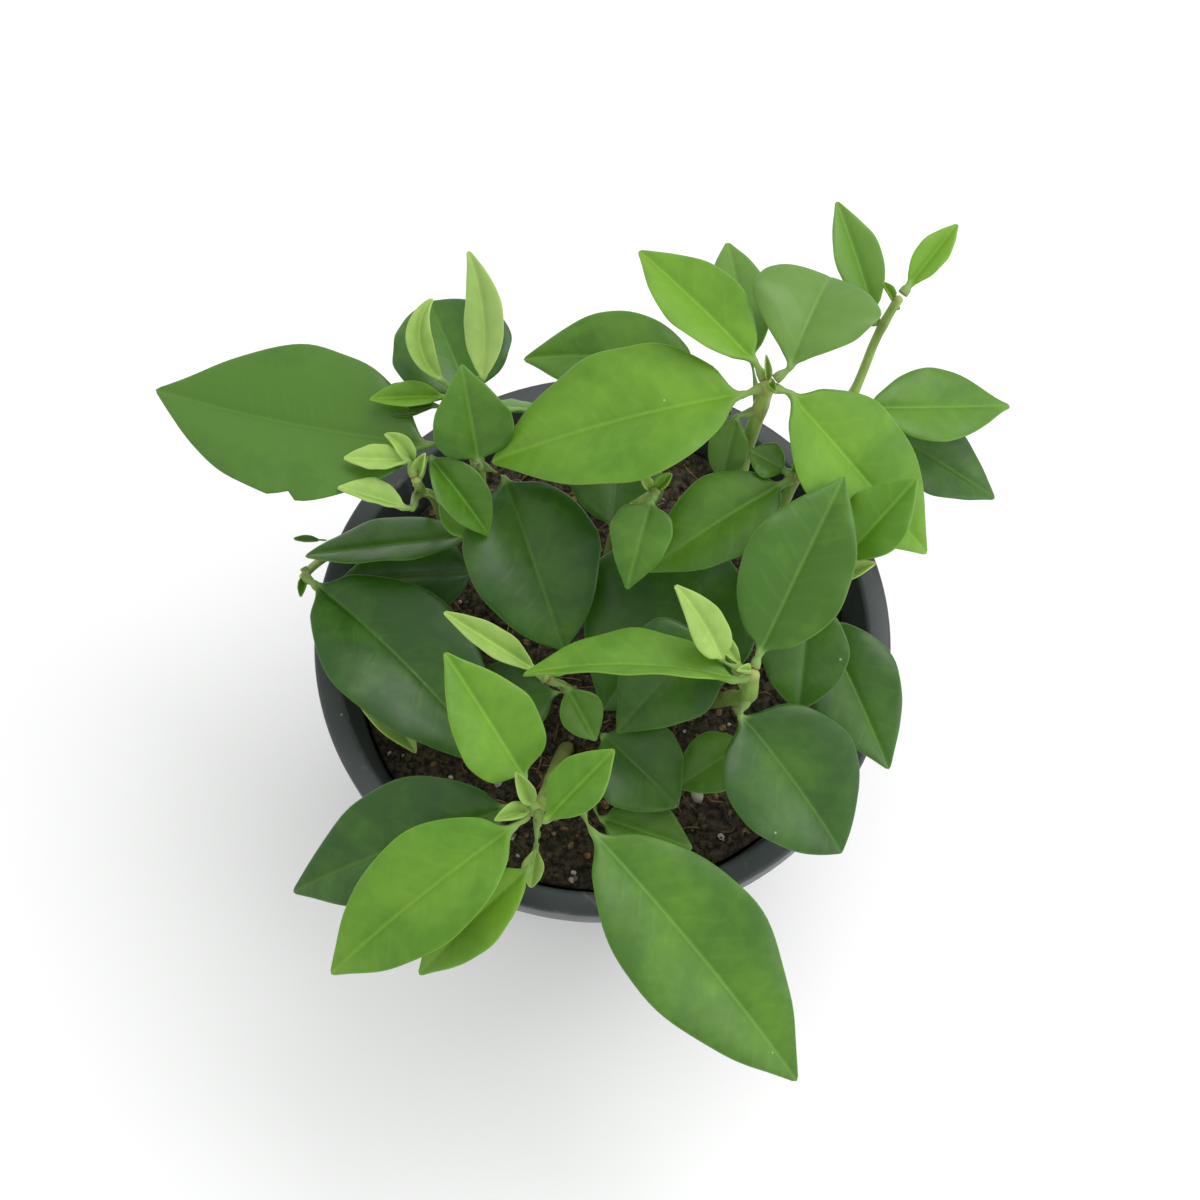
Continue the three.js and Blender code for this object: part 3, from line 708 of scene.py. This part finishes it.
young_leaves = {
    "left_crescent_leaf": ("leaf_pale", "left_shoot", 0.94,
                           dict(heading=150, rise=28, length=19, width=6, swing=-110, fold=32, petiole=5)),
    "left_small_leaf": ("leaf_bright", "left_shoot", 0.9,
                        dict(heading=186, rise=14, length=15, width=6.5, petiole=4, petiole_heading=150)),
    "left_dark_scrap": ("leaf_mature", "left_shoot", 0.86,
                        dict(heading=178, rise=4, length=14, width=9, petiole=6, petiole_heading=150)),
    "low_middle_leaf": ("leaf_mature", "centre_front_shoot", 0.55,
                        dict(heading=190, rise=-2, length=21, width=18, fold=6, petiole=3)),
    "low_back_leaf": ("leaf_mature", "centre_shoot", 0.42,
                      dict(heading=84, rise=2, length=23, width=20, fold=6, petiole=4)),
    "folded_behind_leaf": ("leaf_middle", "left_side_shoot", 0.8,
                           dict(heading=330, rise=4, length=15, width=11, fold=12, petiole=4)),
    "young_curl": ("leaf_pale", "left_side_shoot", 0.98,
                   dict(heading=110, rise=40, length=9, width=5, swing=60, fold=40, petiole=3)),
    "dried_stub": ("leaf_mature", "trailing_shoot", 0.62,
                   dict(heading=178, rise=6, length=6, width=1.8, fold=30, petiole=9)),
    "crown_bud": ("leaf_pale", "back_right_shoot", 0.99,
                  dict(heading=100, rise=62, length=6, width=3, fold=60, petiole=1)),
    "crown_bud_outer": ("leaf_bright", "back_right_shoot", 0.98,
                        dict(heading=290, rise=55, length=5, width=3, fold=55, petiole=1)),
    "centre_bud": ("leaf_bright", "centre_shoot", 0.98,
                   dict(heading=40, rise=35, length=5, width=3.4, fold=35, petiole=0.6)),
    "centre_bud_inner": ("leaf_pale", "centre_shoot", 0.97,
                         dict(heading=130, rise=45, length=4.5, width=3, fold=40, petiole=0.6)),
    "right_side_pale_leaf": ("leaf_pale", "right_side_shoot", 0.97,
                             dict(heading=14, rise=34, length=11, width=5, fold=36, petiole=2)),
    "right_second_pale_leaf": ("leaf_pale", "right_shoot", 0.95,
                               dict(heading=135, rise=36, length=12, width=4, fold=40, petiole=4)),
    "right_tip_bud": ("leaf_pale", "right_shoot", 0.99,
                      dict(heading=200, rise=60, length=5, width=3, fold=55, petiole=1)),
    "front_pale_tip": ("leaf_pale", "front_shoot", 0.8,
                       dict(heading=262, rise=-20, length=8, width=5, petiole=9)),
    "front_bud": ("leaf_pale", "front_shoot", 0.99,
                  dict(heading=120, rise=50, length=8, width=5, fold=45, petiole=1)),
    "front_bud_outer": ("leaf_pale", "front_shoot", 0.98,
                        dict(heading=205, rise=30, length=8, width=5, fold=45, petiole=1)),
    "trailing_under_leaf": ("leaf_pale", "trailing_shoot", 0.96,
                            dict(heading=305, rise=-10, length=24, width=11, petiole=20, droop=10,
                                 petiole_heading=300, petiole_rise=-12)),
    "trailing_tip": ("leaf_middle", "trailing_shoot", 0.97,
                     dict(heading=262, rise=10, length=5, width=3, fold=50, petiole=0.6)),
    "outer_bud": ("leaf_bright", "far_right_shoot", 0.98,
                  dict(heading=140, rise=50, length=5, width=3, fold=50, petiole=1)),
    "side_bud": ("leaf_pale", "left_side_shoot", 0.98,
                 dict(heading=60, rise=60, length=6, width=4, fold=50, petiole=1)),
    "middle_bud": ("leaf_bright", "middle_right_shoot", 0.97,
                   dict(heading=60, rise=45, length=7, width=4, fold=45, petiole=1)),
    "low_front_bud": ("leaf_bright", "centre_front_shoot", 0.97,
                      dict(heading=20, rise=30, length=7, width=4, fold=40, petiole=1)),
}
for order, (name, (slot, shoot, share, aim)) in enumerate(young_leaves.items()):
    make_leaf(name, young_rings(shoot, share, **aim), slot, 0.0, 500 + order, wave=0.1, rows=26)
print("young leaves and buds:", len(young_leaves))

# %% [markdown]
# ## The pot
# The pot is injection-moulded in dark grey plastic: a tapered wall, a flat flange on top, and a short skirt
# that hangs from the flange's outer edge. All of it is one profile turned about the pot's axis. The profile
# is a list of corners, each with its own rounding, because those small roundings catch the light along the
# rim. The six drain holes are cut with one boolean, since a turned shape can't have them.

# %% Turn the pot
POT_SIDES = 144
ARC_STEPS = 5


def rounded(corners):
    """Replaces each (radius, height, rounding) corner by a short arc. Millimetres."""
    outline = []
    for i, (x, z, rounding) in enumerate(corners):
        here = np.array([x, z], float)
        if rounding == 0 or i in (0, len(corners) - 1):
            outline.append(here)
            continue
        back = unit(np.array(corners[i - 1][:2], float) - here)
        ahead = unit(np.array(corners[i + 1][:2], float) - here)
        for step in np.linspace(0, 1, ARC_STEPS):
            start, end = here + back * rounding, here + ahead * rounding
            outline.append(start * (1 - step) ** 2 + here * 2 * step * (1 - step) + end * step**2)
    return np.array(outline)


def turn(outline, sides):
    """A closed turned mesh from an outline that starts and ends on the axis."""
    angle = np.arange(sides) * 2 * np.pi / sides
    rows = np.stack([outline[1:-1, None, 0] * np.cos(angle), outline[1:-1, None, 0] * np.sin(angle),
                     np.repeat(outline[1:-1, 1:2], sides, axis=1)], axis=-1)
    return loft(rows * MM)


height = pot_top / MM
rim = pot_reach.max() / MM
base = pot_reach[pot_points[:, 2] < 1e-5].max() / MM + 0.8
at_top = pot_reach[pot_points[:, 2] > pot_top - 1e-5] / MM
mouth = at_top.min() - 0.8
WALL, SKIRT, FLOOR = 1.4, 7.5, 2.0
taper = (mouth - base + WALL) / (height - FLOOR)
wall_at = lambda z: base - WALL + (z - FLOOR) * taper
pot_outline = rounded([
    (0, 0.6, 0), (base - 9, 0.6, 0.3), (base - 8.4, 0, 0.3), (base, 0, 1.4),
    (wall_at(height - 22) + WALL, height - 22, 0.4),
    (wall_at(height - 21.4) + WALL + 0.5, height - 21.4, 0.2),
    (wall_at(height - WALL) + WALL, height - WALL, 0.5), (rim - WALL, height - WALL, 0.5),
    (rim - WALL - 0.3, height - SKIRT, 0.4), (rim - 0.5, height - SKIRT, 0.4), (rim, height, 1.0),
    (mouth, height, 0.9), (wall_at(FLOOR), FLOOR, 1.0), (0, FLOOR, 0),
])
points, faces = turn(pot_outline, POT_SIDES)
print("pot outline:", len(pot_outline), "points; base radius", round(base, 1), "mouth", round(mouth, 1))

# %% Cut the drain holes
DRAIN_HOLES, DRAIN_RADIUS, DRAIN_CIRCLE = 6, 3.5, 27
drills = bmesh.new()
for hole in range(DRAIN_HOLES):
    angle = (hole + 0.5) * 2 * math.pi / DRAIN_HOLES
    turned = bmesh.ops.create_cone(drills, cap_ends=True, segments=32, radius1=DRAIN_RADIUS * MM,
                                   radius2=DRAIN_RADIUS * MM, depth=0.012)
    shift = Vector((DRAIN_CIRCLE * math.cos(angle), DRAIN_CIRCLE * math.sin(angle), 0)) * MM
    bmesh.ops.translate(drills, verts=turned["verts"], vec=shift)
drill_mesh = bpy.data.meshes.new("drills")
drills.to_mesh(drill_mesh)
drill = bpy.data.objects.new("drills", drill_mesh)
bpy.context.scene.collection.objects.link(drill)
pot = make_piece("nursery_pot", points, faces, [])
cut = pot.modifiers.new("holes", "BOOLEAN")
cut.operation = "DIFFERENCE"
cut.solver = "EXACT"
cut.object = drill
cut_mesh = bpy.data.meshes.new_from_object(pot.evaluated_get(bpy.context.evaluated_depsgraph_get()))
pot.modifiers.clear()
pot.data = cut_mesh
bpy.data.objects.remove(drill)
cut_mesh.shade_smooth()
cut_mesh.set_sharp_from_angle(angle=math.radians(50))
print("pot faces:", len(cut_mesh.polygons))

# %% [markdown]
# ## Moulded plastic
# The plastic is a blue-grey charcoal, smooth but not shiny, with a very fine grain from the mould. A used pot
# has pale scuffs, a little dried soil and dust that settles on the flange. All of it stays subtle: three
# noises at different sizes shift the colour and the roughness, and the grain is a tiny bump.

# %% Pot finish
plastic = Finish("charcoal_plastic", 0.42, Specular_IOR_Level=0.5)
haze = plastic.cloud(0.03, detail=3)
grey = plastic.blend(plastic.fade(haze, 0.3, 0.7, low=0.0, high=1.0), srgb(44, 51, 52), srgb(60, 67, 67))
scuff_marks = plastic.cloud(0.006, detail=6, stretch=(1, 1, 0.25), distortion=1.5)
scuffs = plastic.fade(scuff_marks, 0.6, 0.74, 0.0, 0.35)
grey = plastic.blend(scuffs, grey, srgb(110, 115, 112))
dirt = plastic.fade(plastic.cloud(0.011, detail=5), 0.6, 0.78, low=0.0, high=0.45)
grey = plastic.blend(dirt, grey, srgb(84, 76, 66))
dust_spots = plastic.specks(0.0035, 0.16, 0.1)
grey = plastic.blend(plastic.maths("MULTIPLY", dust_spots, 0.55), grey, srgb(168, 166, 158))
plastic.colour(grey)
plastic.roughness(plastic.fade(haze, 0.25, 0.75, low=0.36, high=0.52))
plastic.bump(plastic.cloud(0.0004, detail=2), 0.00003, 0.7)
plastic.bump(plastic.cloud(0.02, detail=1), 0.0002, 0.3)
pot.data.materials.append(plastic.material)
hand_over(pot, ("pot",))
print("pot finished")

# %% [markdown]
# ## Potting soil
# The soil is a dark peat mix. Its surface is lumpy at every size, from clods down to crumbs. The large form
# is read from the solid by looking straight down on it, and noise adds the lumps. On top lie loose crumbs,
# white perlite, tan bits of bark and short fibres. Each kind is one mesh of many small lumps, because
# thousands of separate objects would be slow to handle and would get lost on the way to other programs.

# %% Soil bed
soil_points, _ = skin_of("potting_soil")
soil_mesh = nodes["potting_soil"].data
soil_tree = BVHTree.FromPolygons([v.co for v in soil_mesh.vertices], [p.vertices for p in soil_mesh.polygons])
soil_reach = np.hypot(soil_points[:, 0], soil_points[:, 1]).max()
soil_low = soil_points[:, 2].min()
edge_height = pot_top - 0.0124


def soil_height(x, y):
    """The bed's height under a point: the solid's large form and finer lumps of its own."""
    hit = soil_tree.ray_cast(Vector((x, y, pot_top + 0.02)), Vector((0, 0, -1)))[0]
    large = max(hit.z if hit else edge_height, edge_height)
    lumps = noise.fractal(Vector((x, y, 0)) * 260, 0.9, 2.2, 4) * 0.0006
    clods = noise.noise(Vector((x, y, 5)) * 110) * 0.0007
    return large + lumps + clods


SOIL_RINGS, SOIL_SPOKES = 72, 200
angle = np.arange(SOIL_SPOKES) * 2 * np.pi / SOIL_SPOKES
bed_rows = []
for share in (1 - np.linspace(0, 1, SOIL_RINGS, endpoint=False)):
    reach = share * soil_reach * 0.998
    bed_rows.append([(reach * math.cos(a), reach * math.sin(a),
                      soil_height(reach * math.cos(a), reach * math.sin(a))) for a in angle])
low_reach = np.hypot(soil_points[:, 0], soil_points[:, 1])[soil_points[:, 2] < soil_low + 1e-5].max()
wall_row = [(low_reach * math.cos(a), low_reach * math.sin(a), soil_low) for a in angle]
bed_points, bed_faces = loft(np.array([wall_row, *bed_rows]))
print("soil bed:", len(bed_faces), "faces; reach", round(soil_reach / MM, 1), "mm")

# %% Soil finish
peat = Finish("damp_peat", 0.92, Specular_IOR_Level=0.25)
crumbs_noise = peat.cloud(0.0012, detail=6)
brown = peat.blend(peat.fade(crumbs_noise, 0.32, 0.68, 0.0, 1.0), srgb(36, 33, 27), srgb(92, 82, 66))
brown = peat.blend(peat.fade(peat.cloud(0.009, detail=2), 0.4, 0.7, 0.0, 0.4), brown, srgb(42, 39, 31))
tan_flecks = peat.specks(0.0014, 0.14, 0.24)
brown = peat.blend(peat.maths("MULTIPLY", tan_flecks, 0.8), brown, srgb(142, 118, 88))
peat.colour(brown)
peat.roughness(peat.fade(crumbs_noise, 0.3, 0.7, 0.98, 0.82))
peat.bump(crumbs_noise, 0.0006, 1.0)
bed = make_piece("soil_bed", bed_points, bed_faces, [peat.material])
hand_over(bed, ("potting_soil",))


def lump_finish(name, dark, light, roughness):
    finish = Finish(name, roughness, Specular_IOR_Level=0.3)
    speckle = finish.cloud(0.0007, detail=4)
    shade = finish.blend(finish.fade(speckle, 0.3, 0.7, 0.0, 1.0), srgb(*dark), srgb(*light))
    tint = finish.maths("MULTIPLY", finish.value("tint"), 0.7)
    finish.colour(finish.blend(tint, shade, srgb(*dark)))
    finish.roughness(finish.fade(speckle, 0.3, 0.7, roughness, roughness - 0.12))
    finish.bump(speckle, 0.0002, 0.8)
    return finish.material


crumb_finish = lump_finish("peat_crumb", (36, 32, 26), (104, 92, 72), 0.95)
perlite_finish = lump_finish("perlite", (176, 170, 156), (232, 228, 216), 0.8)
bark_finish = lump_finish("bark", (96, 74, 50), (172, 142, 104), 0.85)
fibre_finish = lump_finish("coir_fibre", (112, 84, 54), (176, 142, 98), 0.8)

# %% Scatter crumbs, perlite and bark
scatter = np.random.default_rng(7)


def ball(detail):
    lump = bmesh.new()
    bmesh.ops.create_icosphere(lump, subdivisions=detail, radius=1)
    corners = np.array([v.co[:] for v in lump.verts])
    sides = [tuple(v.index for v in face.verts) for face in lump.faces]
    lump.free()
    return corners, sides


def scatter_lumps(name, finish, count, sizes, squash, detail, fixed=()):
    """Many irregular lumps that rest half sunk in the bed, as one mesh."""
    corners, sides = ball(detail)
    all_points, all_faces, tints = [], [], []
    spots = list(fixed)
    while len(spots) < count:
        reach, angle = soil_reach * 0.97 * math.sqrt(scatter.random()), scatter.uniform(0, 2 * math.pi)
        spots.append((reach * math.cos(angle), reach * math.sin(angle), scatter.uniform(*sizes) * MM))
    for x, y, size in spots:
        rough = np.array([1 + 0.45 * noise.noise(Vector(corner) * 1.7 + Vector((x, y, 0)) * 900)
                          for corner in corners])
        stretch = scatter.uniform(0.7, 1.25, 3) * np.array([1, 1, squash])
        turn_by, tilt = scatter.uniform(0, 2 * math.pi), scatter.uniform(-0.5, 0.5)
        shape = corners * rough[:, None] * stretch * size
        c, s = math.cos(tilt), math.sin(tilt)
        shape = shape @ np.array([[1, 0, 0], [0, c, -s], [0, s, c]])
        c, s = math.cos(turn_by), math.sin(turn_by)
        shape = shape @ np.array([[c, -s, 0], [s, c, 0], [0, 0, 1]])
        start = len(all_points) * len(corners)
        all_points.append(shape + [x, y, soil_height(x, y) + size * squash * 0.25])
        all_faces += [tuple(corner + start for corner in face) for face in sides]
        tints += [scatter.random()] * len(corners)
    piece = make_piece(name, np.vstack(all_points), all_faces, [finish], {"tint": tints})
    hand_over(piece)
    return piece


FRONT_PERLITE = [(0.0196, -0.0312, 0.0019), (0.0245, -0.0405, 0.0008), (0.0135, -0.0440, 0.0006)]
crumbs = scatter_lumps("soil_crumbs", crumb_finish, 1300, (0.35, 1.3), 0.8, 1)
perlite = scatter_lumps("perlite_grains", perlite_finish, 110, (0.3, 0.9), 0.85, 2, FRONT_PERLITE)
bark = scatter_lumps("bark_bits", bark_finish, 420, (0.3, 1.2), 0.4, 1)
print("scattered:", len(crumbs.data.polygons) + len(perlite.data.polygons) + len(bark.data.polygons), "faces")

# %% Fibres
FIBRES, FIBRE_ROWS, FIBRE_SIDES = 150, 10, 5
strand_points, strand_faces, strand_tints = [], [], []
for strand in range(FIBRES):
    reach, angle = soil_reach * 0.92 * math.sqrt(scatter.random()), scatter.uniform(0, 2 * math.pi)
    x, y = reach * math.cos(angle), reach * math.sin(angle)
    heading, bend = scatter.uniform(0, 2 * math.pi), scatter.uniform(-0.35, 0.35)
    step, thick = scatter.uniform(0.4, 1.0) * MM, scatter.uniform(0.07, 0.16) * MM
    rows = []
    for row in range(FIBRE_ROWS):
        lift = math.sin(math.pi * row / (FIBRE_ROWS - 1)) * 0.0009
        centre = np.array([x, y, soil_height(x, y) + 0.0002 + lift])
        side = np.array([-math.sin(heading), math.cos(heading), 0])
        around = np.arange(FIBRE_SIDES) * 2 * np.pi / FIBRE_SIDES
        rows.append(centre + thick * (np.cos(around)[:, None] * side + np.sin(around)[:, None] * [0, 0, 1]))
        heading += bend
        x, y = x + step * math.cos(heading), y + step * math.sin(heading)
        if math.hypot(x, y) > soil_reach * 0.96:
            x, y = x * 0.96, y * 0.96
    points, faces = loft(np.array(rows))
    start = sum(len(points) for points in strand_points)
    strand_points.append(points)
    strand_faces += [tuple(corner + start for corner in face) for face in faces]
    strand_tints += [scatter.random()] * len(points)
fibres = make_piece("coir_fibres", np.vstack(strand_points), strand_faces, [fibre_finish],
                    {"tint": strand_tints})
hand_over(fibres)
print("fibres:", FIBRES)

# %% [markdown]
# ## Floor and light
# The plant stands on a plain white floor under even daylight. A large soft light overhead, a little behind
# and to the right, gives the leaves their broad sheen and the rim its bright edge. A second, lower one on the
# right models the leaves on that side, and a pale world fills the rest.

# %% Floor
FLOOR_SIZE = 6.0
floor_mesh = bpy.data.meshes.new("floor")
half = FLOOR_SIZE / 2
floor_corners = [(-half, -half, 0), (half, -half, 0), (half, half, 0), (-half, half, 0)]
floor_mesh.from_pydata(floor_corners, [], [(0, 1, 2, 3)])
floor = bpy.data.objects.new("floor", floor_mesh)
bpy.context.scene.collection.objects.link(floor)
floor_finish = Finish("white_floor", 0.7, Specular_IOR_Level=0.2)
floor_finish.colour(floor_finish.blend(floor_finish.cloud(0.4), srgb(246, 246, 246), srgb(250, 250, 250)))
floor_mesh.materials.append(floor_finish.material)

# %% Light


def soft_light(name, place, size, power):
    lamp = bpy.data.lights.new(name, "AREA")
    lamp.shape = "DISK"
    lamp.size = size
    lamp.energy = power
    holder = bpy.data.objects.new(name, lamp)
    holder.location = place
    holder.rotation_euler = (rim_centre - Vector(place)).to_track_quat("-Z", "Y").to_euler()
    bpy.context.scene.collection.objects.link(holder)


soft_light("overhead", (0.5, 0.45, 1.2), 1.0, 7.2)
soft_light("right", (1.1, -0.3, 0.6), 0.8, 3.0)
world = bpy.data.worlds.new("daylight")
world.use_nodes = True
world.node_tree.nodes["Background"].inputs["Color"].default_value = (0.99, 1.0, 0.99, 1)
world.node_tree.nodes["Background"].inputs["Strength"].default_value = 0.9
bpy.context.scene.world = world
bpy.context.scene.view_settings.view_transform = "Standard"
print("lights placed")
